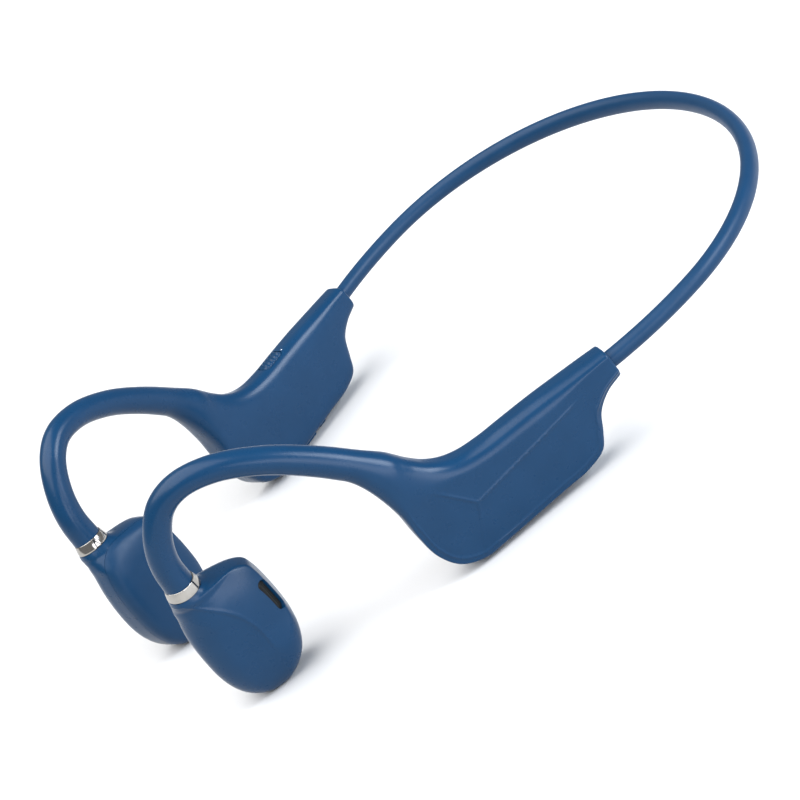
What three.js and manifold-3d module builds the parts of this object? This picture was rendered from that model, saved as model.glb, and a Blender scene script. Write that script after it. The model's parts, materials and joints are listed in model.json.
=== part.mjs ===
// Bone conduction headphones: a thin neckband, two flat pods, two ear hooks and two transducer housings.
// Worn frame, in millimetres: +X is the wearer's right, +Y is forward and +Z is up. Its origin lies midway
// between the two points where the neckband enters the pods. Every piece that comes in pairs is drawn for
// the right side and mirrored for the left. At the end the whole set is pitched forward by REST_TILT, so
// that it stands on its pods and its transducer housings, and its origin moves to the middle of its base.
import * as THREE from 'three';
import { mergeVertices } from 'three/addons/utils/BufferGeometryUtils.js';
import Module from 'manifold-3d';

const wasm = await Module();
wasm.setup();

// ---- Driving dimensions (mm, degrees) ----
const GAP = 0.3; // clearance between neighbouring pieces
const WALL = 1.3; // thickness of the moulded shells
const REST_TILT = 2.5;

const BAND = {
  halfWidth: 58.3, // centre plane to the widest point of the band
  widestY: -22,
  rearDepth: 49.6, // widest point back to the nape
  frontDepth: 66, // the slower curve from the widest point forward to the pods
  radius: 1.75,
  bore: 0.85,
  wire: 0.5,
  split: 0.48, // clearance between the two halves at the nape, where the band flexes
  inside: { end: 11, ferruleEnd: 8.5, boreEnd: 9.5, ferrule: 4.2, sleeve: 3.5, boreStart: -3 }, // Y in the pod
};

const POD = {
  x: 54.5, // middle plane of the pod at its rear end
  toeIn: 14, // the pods converge towards the front
  thickness: 8.6,
  neck: 3.4, // half height of the rear end
  bottom: -15.2,
  front: 49.7,
  horn: { x: 49.15, y: 15.6, slope: 54 }, // middle of the face where the hook starts, and the way it faces
  rounding: 2.7,
  edge: 2.2,
  rearSlim: 0.22, // share by which the rear end is thinner
  hornSlim: 0.1, // share by which the start of the hook is thinner
};

const HOOK = { root: 3.4, middle: 2.75, tip: 3.2, bore: 0.9, wire: 0.55 };

const RING = { length: 2.8, upper: 3.55, lower: 4.2, bore: 3.0 };

const DRIVER = {
  centre: [21.5, 83, 0.7],
  toeIn: 18,
  halfWidth: 9.4,
  top: 13.9,
  bottom: -14.2,
  thickness: 11.8,
  rounding: 4,
  edge: 3.4,
  split: -2.6, // seam between the housing and the contact pad
};

const VENT = { length: 8, width: 2.5, inset: 1.4, y: 4.4, out: 4.1, angle: 38 };

const FUNCTION_BUTTON = { from: 22.8, to: 29.6, width: 3.4, proud: 0.9 };
const POWER_BUTTON = { from: 24.2, to: 27.8, width: 2.8, proud: 0.4 };
const PORT_COVER = { from: 29.4, to: 40.8, width: 4.6, proud: 0.15, thickness: 1 };

// ---- Materials ----
const LOOKS = {
  navy: { color: 0x33507a, roughness: 0.45, metalness: 0 },
  silicone: { color: 0x2c4870, roughness: 0.6, metalness: 0 },
  chrome: { color: 0xd8d4cc, roughness: 0.12, metalness: 1 },
  steel: { color: 0x9a9ca0, roughness: 0.3, metalness: 1 },
  magnet: { color: 0x6c6f74, roughness: 0.35, metalness: 1 },
  copper: { color: 0xb06a36, roughness: 0.35, metalness: 1 },
  mesh: { color: 0x14161a, roughness: 0.7, metalness: 0.2 },
  board: { color: 0x1f5a36, roughness: 0.5, metalness: 0 },
  black: { color: 0x1b1c20, roughness: 0.55, metalness: 0 },
  battery: { color: 0xb9bec6, roughness: 0.35, metalness: 0.6 },
  lens: { color: 0xeef4ff, roughness: 0.15, metalness: 0 },
};

// ---- Solids ----
const vector = ([x, y, z]) => new THREE.Vector3(x, y, z);
const radians = THREE.MathUtils.degToRad;

function bare(geometry) {
  const copy = geometry.clone();
  copy.deleteAttribute('normal');
  copy.deleteAttribute('uv');
  return mergeVertices(copy, 1e-4);
}

function solid(geometry) {
  const { attributes, index } = bare(geometry);
  return new wasm.Manifold(new wasm.Mesh({
    numProp: 3,
    vertProperties: new Float32Array(attributes.position.array),
    triVerts: new Uint32Array(index.array),
  }));
}

function geometryOf(manifold) {
  const { vertProperties, triVerts } = manifold.getMesh();
  const geometry = new THREE.BufferGeometry();
  geometry.setAttribute('position', new THREE.BufferAttribute(new Float32Array(vertProperties), 3));
  geometry.setIndex(Array.from(triVerts));
  return geometry;
}

function mirrored(geometry) {
  const copy = bare(geometry);
  copy.scale(-1, 1, 1);
  const { array } = copy.index;
  for (let i = 0; i < array.length; i += 3) {
    [array[i + 1], array[i + 2]] = [array[i + 2], array[i + 1]];
  }
  return copy;
}

// A block given by its lowest and highest corners.
function block([x0, y0, z0], [x1, y1, z1]) {
  const geometry = new THREE.BoxGeometry(x1 - x0, y1 - y0, z1 - z0);
  return geometry.translate((x0 + x1) / 2, (y0 + y1) / 2, (z0 + z1) / 2);
}

// A rectangle with rounded corners, given by two opposite corners.
function rectangle(x0, y0, x1, y1, radius) {
  const shape = new THREE.Shape();
  shape.moveTo(x0 + radius, y0);
  shape.absarc(x1 - radius, y0 + radius, radius, -Math.PI / 2, 0, false);
  shape.absarc(x1 - radius, y1 - radius, radius, 0, Math.PI / 2, false);
  shape.absarc(x0 + radius, y1 - radius, radius, Math.PI / 2, Math.PI, false);
  shape.absarc(x0 + radius, y0 + radius, radius, Math.PI, 1.5 * Math.PI, false);
  return shape;
}

// A plate with rounded rims, drawn by its outline and centred on its own middle plane.
function plate(outline, thickness, { edge, rounding, segments = 3, inset = 0 }) {
  const depth = thickness - 2 * rounding;
  const geometry = new THREE.ExtrudeGeometry(outline, {
    depth,
    bevelThickness: rounding,
    bevelSize: edge,
    bevelOffset: -edge - inset,
    bevelSegments: segments,
    curveSegments: 6,
  });
  return geometry.translate(0, 0, -depth / 2);
}

// A round profile, hollow if it has a bore, carried along a curve with a radius that may change.
function sweep(curve, steps, { radius = 1, bore = 0, sides = 10, boreSides = 6, radiusAt = () => 1 }) {
  const ring = (r, n) => Array.from({ length: n }, (_, i) => {
    const angle = (2 * Math.PI * i) / n;
    return new THREE.Vector2(r * Math.cos(angle), r * Math.sin(angle));
  });
  const shape = new THREE.Shape(ring(radius, sides));
  if (bore) shape.holes.push(new THREE.Path(ring(bore, boreSides)));
  const geometry = new THREE.ExtrudeGeometry(shape, { depth: 1, steps, bevelEnabled: false });
  const { normals, binormals } = curve.computeFrenetFrames(steps);
  const { position } = geometry.attributes;
  for (let i = 0; i < position.count; i += 1) {
    const t = position.getZ(i);
    const step = Math.round(t * steps);
    const across = new THREE.Vector2(position.getX(i), position.getY(i));
    if (across.length() > bore * 1.01 || !bore) across.multiplyScalar(radiusAt(t));
    const point = curve.getPointAt(t)
      .addScaledVector(normals[step], across.x)
      .addScaledVector(binormals[step], across.y);
    position.setXYZ(i, point.x, point.y, point.z);
  }
  return geometry;
}

class Stretch extends THREE.Curve {
  constructor(curve, from, to) {
    super();
    Object.assign(this, { curve, from, to });
  }

  getPoint(t, target = new THREE.Vector3()) {
    return target.copy(this.curve.getPointAt(this.from + (this.to - this.from) * t));
  }
}

// The share of a curve's length at which a test on its points first holds.
function shareWhere(curve, test) {
  const samples = 2000;
  for (let i = 0; i <= samples; i += 1) {
    if (test(curve.getPointAt(i / samples))) return i / samples;
  }
  return 1;
}

// ---- Scene graph ----
const worn = new THREE.Group();

function add(name, geometry, look) {
  const mesh = new THREE.Mesh(bare(geometry), new THREE.MeshStandardMaterial(LOOKS[look]));
  mesh.name = name;
  worn.add(mesh);
}

function addRight(name, geometry, look) {
  add(`${name}_right`, geometry, look);
}

function addLeft(name, geometry, look) {
  add(`${name}_left`, mirrored(geometry), look);
}

function addPair(name, geometry, look) {
  addRight(name, geometry, look);
  addLeft(name, geometry, look);
}

// ---- Neckband ----
// Half of the band, from inside the right pod round to the nape.
class BandLine extends THREE.Curve {
  constructor(frontY) {
    super();
    this.frontAngle = Math.asin((frontY - BAND.widestY) / BAND.frontDepth);
    this.rearAngle = -Math.acos(BAND.split / 2 / BAND.halfWidth);
  }

  getPoint(t, target = new THREE.Vector3()) {
    const angle = THREE.MathUtils.lerp(this.frontAngle, this.rearAngle, t);
    const depth = angle > 0 ? BAND.frontDepth : BAND.rearDepth;
    return target.set(BAND.halfWidth * Math.cos(angle), BAND.widestY + depth * Math.sin(angle), 0);
  }
}

const { inside } = BAND;
const bandLine = new BandLine(inside.end);
const bandShare = (y) => shareWhere(bandLine, (point) => point.y < y);
const sleeveLine = new Stretch(bandLine, bandShare(inside.sleeve), 1);
const ferruleLine = new Stretch(bandLine, bandShare(inside.ferruleEnd), bandShare(inside.ferrule));
const bandEntry = new Stretch(bandLine, bandShare(inside.boreEnd), bandShare(inside.boreStart));

addPair('neckband_sleeve', sweep(sleeveLine, 28, BAND), 'silicone');
addPair('memory_wire', sweep(bandLine, 30, { radius: BAND.wire, sides: 6 }), 'steel');
addPair('wire_ferrule', sweep(ferruleLine, 1, { radius: 1.6, bore: BAND.bore, sides: 12 }), 'steel');

// ---- Line of the ear hook, from inside the pod over the ear and down into the transducer housing ----
const hookPoints = [
  [43.9, 43.3, 8.8],
  [42.3, 48.6, 16.2],
  [39.5, 55.3, 24.4],
  [36.6, 62, 30.8],
  [33.1, 69.3, 35.3],
  [29.8, 75.7, 36.5],
  [26.9, 80.4, 34.5],
  [24.7, 84.3, 29.4],
  [23.3, 86.3, 24],
  [22.6, 86.8, 18.6],
  [22.2, 87, 14.8],
  [21.9, 87, 10.6],
];
const armLine = new THREE.CatmullRomCurve3(hookPoints.map(vector), false, 'centripetal');
const hookStart = shareWhere(armLine, ({ y, z }) => {
  const forward = y / Math.cos(radians(POD.toeIn)) - POD.horn.x;
  const slope = radians(POD.horn.slope);
  return forward * Math.cos(slope) + (z - POD.horn.y) * Math.sin(slope) > GAP;
});
const hookEnd = shareWhere(armLine, (point) => point.y > 86 && point.z < 18.8);
const hookLine = new Stretch(armLine, hookStart, hookEnd);
const endPoint = armLine.getPointAt(hookEnd);
const endDown = armLine.getTangentAt(hookEnd);

function hookRadius(t) {
  return HOOK.middle + (HOOK.root - HOOK.middle) * (1 - t) ** 3 + (HOOK.tip - HOOK.middle) * t ** 4;
}

const hookTube = sweep(hookLine, 22, { bore: HOOK.bore, sides: 12, radiusAt: hookRadius });
addPair('ear_hook', hookTube, 'silicone');
addPair('hook_wire', sweep(armLine, 24, { radius: HOOK.wire, sides: 6 }), 'steel');

// ---- Pods ----
const podAngle = radians(POD.toeIn);
const podPlace = new THREE.Matrix4()
  .makeBasis(
    new THREE.Vector3(-Math.sin(podAngle), Math.cos(podAngle), 0),
    new THREE.Vector3(0, 0, 1),
    new THREE.Vector3(Math.cos(podAngle), Math.sin(podAngle), 0),
  )
  .setPosition(POD.x, 0, 0);
const inPod = (geometry) => geometry.clone().applyMatrix4(podPlace);

// Side view of a pod: x runs forward from the rear end and y runs up.
function podOutline() {
  const shape = new THREE.Shape();
  shape.moveTo(0, POD.neck);
  shape.lineTo(19, 4.1);
  shape.lineTo(30, 4.7);
  shape.bezierCurveTo(38.5, 5.4, 41.2, 10.6, 46.4, 17.6);
  shape.lineTo(51.9, 13.6);
  shape.bezierCurveTo(50, 8.5, POD.front + 0.2, 2, POD.front, -5.6);
  shape.bezierCurveTo(POD.front - 0.2, -11.5, 45.5, POD.bottom, 40, POD.bottom);
  shape.lineTo(17.4, POD.bottom);
  shape.bezierCurveTo(13, POD.bottom, 12.2, -13.4, 10.8, -10.8);
  shape.bezierCurveTo(9, -7.4, 6, -4.6, 0, -POD.neck);
  shape.closePath();
  return shape;
}

// The pod is slimmer at its rear end and where it runs out into the hook.
function podTaper(geometry) {
  const { position } = geometry.attributes;
  const rear = (x) => POD.rearSlim * Math.exp(-x / 7);
  const horn = (x) => POD.hornSlim * THREE.MathUtils.smoothstep(x, 40, 52);
  const slim = (x) => 1 - rear(x) - horn(x);
  for (let i = 0; i < position.count; i += 1) {
    position.setZ(i, position.getZ(i) * slim(position.getX(i)));
  }
  return geometry;
}

const podBody = solid(podTaper(plate(podOutline(), POD.thickness, POD)));
const podCavity = solid(podTaper(plate(podOutline(), POD.thickness - 2 * WALL, {
  edge: 0.9,
  rounding: 0.9,
  segments: 1,
  inset: WALL,
})));
const podBores = solid(sweep(bandEntry, 4, { radius: BAND.radius + GAP, sides: 12 }))
  .add(solid(sweep(new Stretch(armLine, 0, hookStart + 0.02), 4, { radius: HOOK.bore, sides: 8 })));

const topOpening = block(
  [FUNCTION_BUTTON.from - GAP, 1, -FUNCTION_BUTTON.width / 2 - GAP],
  [FUNCTION_BUTTON.to + GAP, 9, FUNCTION_BUTTON.width / 2 + GAP],
);
const lightHole = new THREE.CylinderGeometry(0.9, 0.9, 6, 10).translate(20.9, 5, 0);
const powerOpening = block(
  [POWER_BUTTON.from - GAP, POD.bottom - 2, -POWER_BUTTON.width / 2 - GAP],
  [POWER_BUTTON.to + GAP, POD.bottom + 3, POWER_BUTTON.width / 2 + GAP],
);
const coverInside = POD.bottom + PORT_COVER.thickness - PORT_COVER.proud;
const coverRecess = block(
  [PORT_COVER.from - GAP, POD.bottom - 2, -PORT_COVER.width / 2 - GAP],
  [PORT_COVER.to + GAP, coverInside + GAP, PORT_COVER.width / 2 + GAP],
);
const portOpening = block([30.6, POD.bottom - 2, -1.9], [40, POD.bottom + 2.4, 1.9]);

function podShell(outward, cutters) {
  const half = outward > 0
    ? block([-10, -30, GAP / 2], [80, 40, 20])
    : block([-10, -30, -20], [80, 40, -GAP / 2]);
  let shell = podBody.subtract(podCavity).intersect(solid(half));
  for (const cutter of cutters) shell = shell.subtract(solid(cutter));
  const placed = solid(inPod(geometryOf(shell)));
  return geometryOf(placed.subtract(podBores));
}

const rightCutters = [topOpening, lightHole, powerOpening, coverRecess, portOpening];
addRight('pod_outer_shell', podShell(1, rightCutters), 'navy');
addRight('pod_inner_shell', podShell(-1, rightCutters), 'navy');
addLeft('pod_outer_shell', podShell(1, []), 'navy');
addLeft('pod_inner_shell', podShell(-1, []), 'navy');

// ---- Controls and electronics of the right pod ----
function functionButton() {
  const { from, to, width, proud } = FUNCTION_BUTTON;
  const top = 4.3 + proud;
  let cap = solid(block([from, 1.8, -width / 2], [to, top, width / 2]));
  const grooves = 4;
  for (let i = 1; i <= grooves; i += 1) {
    const x = from + ((to - from) * i) / (grooves + 1);
    cap = cap.subtract(solid(block([x - 0.35, top - 0.45, -width], [x + 0.35, top + 1, width])));
  }
  return geometryOf(cap);
}

function portCover() {
  const { from, to, width, thickness } = PORT_COVER;
  const outline = new THREE.Shape();
  const end = width / 2;
  outline.moveTo(from, -end);
  outline.lineTo(to - end, -end);
  outline.absarc(to - end, 0, end, -Math.PI / 2, Math.PI / 2, false);
  outline.lineTo(from, end);
  outline.closePath();
  const flap = new THREE.ExtrudeGeometry(outline, {
    depth: thickness,
    bevelEnabled: false,
    curveSegments: 8,
  });
  flap.rotateX(Math.PI / 2).translate(0, coverInside, 0);
  const plug = block([31.2, coverInside - 0.1, -1.4], [39.2, POD.bottom + 1.5, 1.4]);
  return geometryOf(solid(flap).add(solid(plug)));
}

function portSocket() {
  const bottom = POD.bottom + 1.9;
  const can = solid(block([30.9, bottom, -1.6], [39.7, bottom + 6.8, 1.6]));
  const mouth = solid(block([31.2, bottom - 1, -1.3], [39.4, bottom + 6, 1.3]));
  const tongue = solid(block([32, bottom + 1.2, -0.35], [38.6, bottom + 6.4, 0.35]));
  return geometryOf(can.subtract(mouth).add(tongue));
}

const powerButton = block(
  [POWER_BUTTON.from, POD.bottom - POWER_BUTTON.proud, -POWER_BUTTON.width / 2],
  [POWER_BUTTON.to, POD.bottom + 2.2, POWER_BUTTON.width / 2],
);

addRight('function_button', inPod(functionButton()), 'navy');
addRight('function_switch', inPod(block([24.4, -0.3, -1.5], [28, 1.1, 1.5])), 'black');
addRight('power_button', inPod(powerButton), 'navy');
const powerSwitch = block([24.4, POD.bottom + 2.9, -1.3], [27.6, POD.bottom + 4.2, 1.3]);
addRight('power_switch', inPod(powerSwitch), 'black');
addRight('port_cover', inPod(portCover()), 'silicone');
addRight('usb_c_socket', inPod(portSocket()), 'steel');
const lightPipe = new THREE.CylinderGeometry(0.55, 0.55, 3.2, 10).translate(20.9, 2.8, 0);
addRight('status_light', inPod(lightPipe), 'lens');
addRight('main_board', inPod(block([16, -11, -2.5], [29.4, -0.7, -1.7])), 'board');
addRight('bluetooth_shield', inPod(block([17.2, -9.8, -1.4], [25.2, -2.2, -0.1])), 'steel');
addRight('charge_board', inPod(block([32.5, -5.6, -2.5], [44, 1.8, -1.7])), 'board');
addRight('microphone', inPod(block([40.4, -3, -1.4], [43.4, -0.6, -0.4])), 'black');

// ---- Battery of the left pod ----
addLeft('battery_cell', inPod(plate(rectangle(15.5, -12.8, 40.5, -1.2, 1.2), 4.8, {
  edge: 0.5,
  rounding: 0.5,
  segments: 1,
})), 'battery');
addLeft('battery_guard_board', inPod(block([16, -0.7, -2], [34, 1.8, -1.2])), 'board');

// ---- Trim ring between the hook and the transducer housing ----
const alongEnd = new THREE.Quaternion().setFromUnitVectors(new THREE.Vector3(0, -1, 0), endDown);

// Turns a piece drawn about the Y axis so that it hangs below the hook's end, drop millimetres down.
function belowHook(geometry, drop) {
  const place = new THREE.Matrix4()
    .makeRotationFromQuaternion(alongEnd)
    .setPosition(endPoint.clone().addScaledVector(endDown, drop));
  return geometry.clone().applyMatrix4(place);
}

const ringProfile = [
  new THREE.Vector2(RING.bore, 0),
  new THREE.Vector2(RING.bore, -RING.length),
  new THREE.Vector2(RING.lower, -RING.length),
  new THREE.Vector2(RING.upper, 0),
  new THREE.Vector2(RING.bore, 0),
];
addPair('trim_ring', belowHook(new THREE.LatheGeometry(ringProfile, 24), GAP), 'chrome');

// ---- Transducer housings ----
const driverAngle = radians(DRIVER.toeIn);
const driverPlace = new THREE.Matrix4()
  .makeBasis(
    new THREE.Vector3(-Math.sin(driverAngle), Math.cos(driverAngle), 0),
    new THREE.Vector3(0, 0, 1),
    new THREE.Vector3(Math.cos(driverAngle), Math.sin(driverAngle), 0),
  )
  .setPosition(...DRIVER.centre);
const inDriver = (geometry) => geometry.clone().applyMatrix4(driverPlace);

function driverOutline() {
  const { halfWidth, top, bottom } = DRIVER;
  const shape = new THREE.Shape();
  const corner = (x, y, radius, from) => {
    shape.absarc(x, y, radius, radians(from), radians(from + 90), false);
  };
  corner(-halfWidth + 7, top - 7, 7, 90);
  corner(-halfWidth + 8.6, bottom + 8.6, 8.6, 180);
  corner(halfWidth - 9, bottom + 9, 9, 270);
  corner(halfWidth - 4.8, top - 4.8, 4.8, 0);
  shape.closePath();
  return shape;
}

const neckCone = new THREE.CylinderGeometry(RING.lower - 0.1, 5.4, 6.4, 20);
const spigot = new THREE.CylinderGeometry(RING.bore - GAP, RING.bore - GAP, RING.length + 2, 16);
const underRing = RING.length + 2 * GAP;
const driverBody = solid(inDriver(plate(driverOutline(), DRIVER.thickness, DRIVER)))
  .add(solid(belowHook(neckCone, underRing + 3.2)))
  .add(solid(belowHook(spigot, GAP + (RING.length + 2) / 2)));
const driverCavity = solid(inDriver(plate(driverOutline(), DRIVER.thickness - 2 * WALL, {
  edge: 2,
  rounding: 2.4,
  segments: 1,
  inset: WALL,
})));
const wireEnd = new Stretch(armLine, hookEnd - 0.01, 1);
const wireBore = solid(sweep(wireEnd, 4, { radius: HOOK.bore, sides: 8 }));

// The sound vent lies on the slope between the outer face and the rear rim of the housing.
function inVent(geometry) {
  return inDriver(geometry.clone()
    .rotateY(radians(-VENT.angle))
    .translate(-DRIVER.halfWidth + VENT.inset, VENT.y, VENT.out));
}

function ventShape(grow) {
  const radius = VENT.width / 2 + grow;
  return rectangle(-radius, -VENT.length / 2 - grow, radius, VENT.length / 2 + grow, radius * 0.99);
}

function ventPlate(grow, depth) {
  return new THREE.ExtrudeGeometry(ventShape(grow), { depth, bevelEnabled: false, curveSegments: 4 });
}

const ventCut = ventPlate(GAP, 8).translate(0, 0, -4);
const outerSide = solid(inDriver(block([-30, -30, DRIVER.split + GAP / 2], [30, 30, 30])));
const innerSide = solid(inDriver(block([-30, -30, -30], [30, 30, DRIVER.split - GAP / 2])));
const driverShell = driverBody.subtract(driverCavity).subtract(wireBore);

addPair('transducer_housing', geometryOf(
  driverShell.intersect(outerSide).subtract(solid(inVent(ventCut))),
), 'navy');
addPair('contact_pad', geometryOf(driverShell.intersect(innerSide)), 'silicone');
addPair('vent_mesh', inVent(ventPlate(0, 0.5).translate(0, 0, 0.1)), 'mesh');

// ---- Transducer: the magnet and its yoke float on a spring plate, the coil is fixed to the contact pad ----
function disc(radius, from, to, bore = 0) {
  const profile = [[bore, from], [radius, from], [radius, to], [bore, to], [bore, from]];
  const points = profile.map(([r, height]) => new THREE.Vector2(r, height));
  if (!bore) points.pop();
  return new THREE.LatheGeometry(points, 24).rotateX(Math.PI / 2);
}

function yoke() {
  const profile = [[0, 2.2], [5.3, 2.2], [5.3, -1.6], [6.3, -1.6], [6.3, 3.1], [0, 3.1]];
  return new THREE.LatheGeometry(profile.map(([r, h]) => new THREE.Vector2(r, h)), 24).rotateX(Math.PI / 2);
}

const inTransducer = (geometry) => inDriver(geometry.clone().translate(-0.5, -2.5, 0));
addPair('transducer_yoke', inTransducer(yoke()), 'steel');
addPair('transducer_magnet', inTransducer(disc(3.2, -1.2, 1.9)), 'magnet');
addPair('voice_coil', inTransducer(disc(4.7, -2.2, 0.6, 3.8)), 'copper');
addPair('spring_plate', inTransducer(disc(7, -3, -2.7, 1.5)), 'steel');

// ---- Stand the set on its base ----
worn.rotation.x = -radians(REST_TILT);
const headphones = new THREE.Group();
headphones.add(worn);
headphones.updateMatrixWorld(true);
const box = new THREE.Box3().setFromObject(headphones, true);
const middle = box.getCenter(new THREE.Vector3());
worn.position.set(-middle.x, -middle.y, -box.min.z);

export default headphones;
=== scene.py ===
"""Bone conduction headphones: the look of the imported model, at rest and at any pose.

Shapes are drawn in the worn frame, in millimetres: x is the wearer's right, y is forward and z is up, with
the origin midway between the two points where the neckband enters the pods. Every paired piece is drawn for
the right side and mirrored for the left. The worn frame is found from the neckband's flex joint, whose axis
is the worn z direction and whose point is the nape.
"""
import json
import math

import bpy
import numpy as np
from mathutils import Matrix, Vector


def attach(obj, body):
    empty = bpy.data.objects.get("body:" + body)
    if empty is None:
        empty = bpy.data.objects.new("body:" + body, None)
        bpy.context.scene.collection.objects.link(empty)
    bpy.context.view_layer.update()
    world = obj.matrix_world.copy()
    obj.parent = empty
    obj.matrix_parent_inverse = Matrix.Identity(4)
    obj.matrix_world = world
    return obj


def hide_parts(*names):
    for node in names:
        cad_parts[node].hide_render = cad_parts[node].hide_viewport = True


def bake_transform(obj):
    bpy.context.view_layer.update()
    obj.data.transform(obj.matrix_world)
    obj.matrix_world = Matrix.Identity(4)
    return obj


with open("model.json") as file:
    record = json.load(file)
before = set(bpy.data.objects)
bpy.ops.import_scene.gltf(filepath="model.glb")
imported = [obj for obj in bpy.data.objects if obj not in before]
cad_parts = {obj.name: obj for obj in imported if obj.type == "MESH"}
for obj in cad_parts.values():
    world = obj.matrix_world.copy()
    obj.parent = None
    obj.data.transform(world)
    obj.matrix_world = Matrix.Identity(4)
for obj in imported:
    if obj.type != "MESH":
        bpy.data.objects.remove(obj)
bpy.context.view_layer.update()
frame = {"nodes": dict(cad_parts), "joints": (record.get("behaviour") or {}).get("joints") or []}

# ---- Driving dimensions (mm, degrees) ----
MM = 0.001
NAPE = -71.6
WALL = 1.3

BAND = {
    "half_width": 58.3,
    "widest_y": -22,
    "rear": 49.6,
    "front": 66,
    "radius": 1.8,
    "wire": 0.5,
    "tall": (1.03, 1.26),
}
BAND_INSIDE = 11  # y of the band's ends, inside the pods
BAND_SOFT = 45  # points at x = 45 and x = -45 on the nape line; the script computes them but nothing uses them

POD = {"x": 54.5, "toe_in": 14}
HOOK = {"root": 3.3, "middle": 2.65, "tip": 3.15, "raised": 0.1}
RING = {
    "length": 2.15,
    "upper": 3.32,
    "lower": 3.78,
    "bore": 2.9,
    "gap": 0.06,
    "edge": 0.14,
    "bulge": 0.04,
}
DRIVER = {"centre": (21.5, 83, 0.7), "toe_in": 18, "split": -2.6}
VENT = {"length": 7.6, "width": 2.1, "b": -8.85, "z": 3.7, "out": 3.0, "angle": 61}
FUNCTION_BUTTON = {"from": 22.8, "to": 28.9, "out": -0.5, "width": 3.6, "ribs": 5}
POWER_BUTTON = {"from": 24.2, "to": 27.8, "width": 3.0, "proud": 1.2}
LIGHT = {"along": 22.1, "out": -1.2, "radius": 0.19, "hole": 0.24, "dish": 0.42}
PORT_COVER = {"from": 29.4, "to": 40.8, "width": 4.6, "proud": 0.75, "thickness": 1.2}
PORT = {"along": (30.7, 39.9), "across": (-1.8, 1.8)}
PLUG = {"along": (31.3, 39.1), "across": (-1.3, 1.3)}

# Line of the ear hook, from inside the pod, over the ear and down into the transducer housing.
HOOK_POINTS = (
    (43.9, 43.3, 8.8),
    (42.3, 48.6, 16.2),
    (39.5, 55.3, 24.4),
    (36.6, 62, 30.8),
    (33.1, 69.3, 35.3),
    (29.8, 75.7, 36.5),
    (26.9, 80.4, 34.5),
    (24.7, 84.3, 29.4),
    (23.3, 86.3, 24),
    (22.6, 86.8, 18.6),
    (22.2, 87, 14.8),
    (21.9, 87, 10.6),
)


# ---- The worn frame in the row frame ----
def worn_frame():
    flex = next(joint for joint in frame["joints"] if joint["name"] == "neckband_flex")
    up = np.array(flex["axis"], float)
    up /= np.linalg.norm(up)
    right = np.array([1.0, 0, 0])
    forward = np.cross(up, right)
    origin = np.array(flex["pos_m"], float) - NAPE * MM * forward
    return np.stack([right, forward, up]), origin


WORN_AXES, WORN_ORIGIN = worn_frame()


def to_row(points):
    """Worn millimetres to row metres."""
    return np.asarray(points, float) @ WORN_AXES * MM + WORN_ORIGIN


def turned(vector):
    """A worn direction in the row frame."""
    return np.asarray(vector, float) @ WORN_AXES


# ---- Camera ----
CAMERA = {
    "place": (-447.45, 160.49, 233.38),
    "look": (0.85401, -0.26508, -0.44767),
    "up": (0.14599, -0.70379, 0.69524),
    "lens": 111.3,
}


def camera():
    back = -turned(CAMERA["look"])
    up = turned(CAMERA["up"])
    up -= back * np.dot(up, back)
    up /= np.linalg.norm(up)
    axes = np.stack([np.cross(up, back), up, back], axis=1)
    data = bpy.data.cameras.new("camera")
    data.lens = CAMERA["lens"]
    data.sensor_width = 36
    data.clip_end = 20
    eye = bpy.data.objects.new("camera", data)
    eye.matrix_world = Matrix.Translation(to_row(CAMERA["place"])) @ Matrix(axes.tolist()).to_4x4()
    bpy.context.scene.collection.objects.link(eye)
    bpy.context.scene.camera = eye


camera()


# ---- Local frames: along, up and out of a pod or a driver, for the right side ----
def local_frame(origin, toe_in):
    angle = math.radians(toe_in)
    along = (-math.sin(angle), math.cos(angle), 0)
    out = (math.cos(angle), math.sin(angle), 0)
    return np.array([along, (0, 0, 1), out]), np.array(origin, float)


POD_AXES, POD_ORIGIN = local_frame((POD["x"], 0, 0), POD["toe_in"])
DRIVER_AXES, DRIVER_ORIGIN = local_frame(DRIVER["centre"], DRIVER["toe_in"])


def in_pod(points):
    return np.asarray(points, float) @ POD_AXES + POD_ORIGIN


def in_driver(points):
    return np.asarray(points, float) @ DRIVER_AXES + DRIVER_ORIGIN


# ---- Numbers ----
def smoothstep(x, low, high):
    t = np.clip((x - low) / (high - low), 0, 1)
    return t * t * (3 - 2 * t)


def lower_of(a, b, soft):
    """The lower of two heights, with the corner between them rounded over soft millimetres."""
    return np.minimum(a, b) - np.maximum(soft - np.abs(a - b), 0) ** 2 / (4 * soft)


def through(rows, spacing, lengths):
    """Rows of numbers resampled evenly along a smooth curve through them. The first columns are lengths."""
    rows = np.array(rows, float)
    t = np.r_[0, np.cumsum(np.linalg.norm(np.diff(rows[:, :lengths], axis=0), axis=1))]
    step = np.diff(t)[:, None]
    rise = np.diff(rows, axis=0) / step
    between = (rise[1:] * step[:-1] + rise[:-1] * step[1:]) / (step[1:] + step[:-1])
    slope = np.vstack([rise[:1], between, rise[-1:]])
    at = np.linspace(0, t[-1], int(t[-1] / spacing) + 2)
    i = np.clip(np.searchsorted(t, at, side="right") - 1, 0, len(step) - 1)
    s = ((at - t[i]) / step[i, 0])[:, None]
    return (
        rows[i] * (1 + 2 * s) * (1 - s) ** 2
        + slope[i] * step[i] * s * (1 - s) ** 2
        + rows[i + 1] * s**2 * (3 - 2 * s)
        + slope[i + 1] * step[i] * s**2 * (s - 1)
    )


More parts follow.
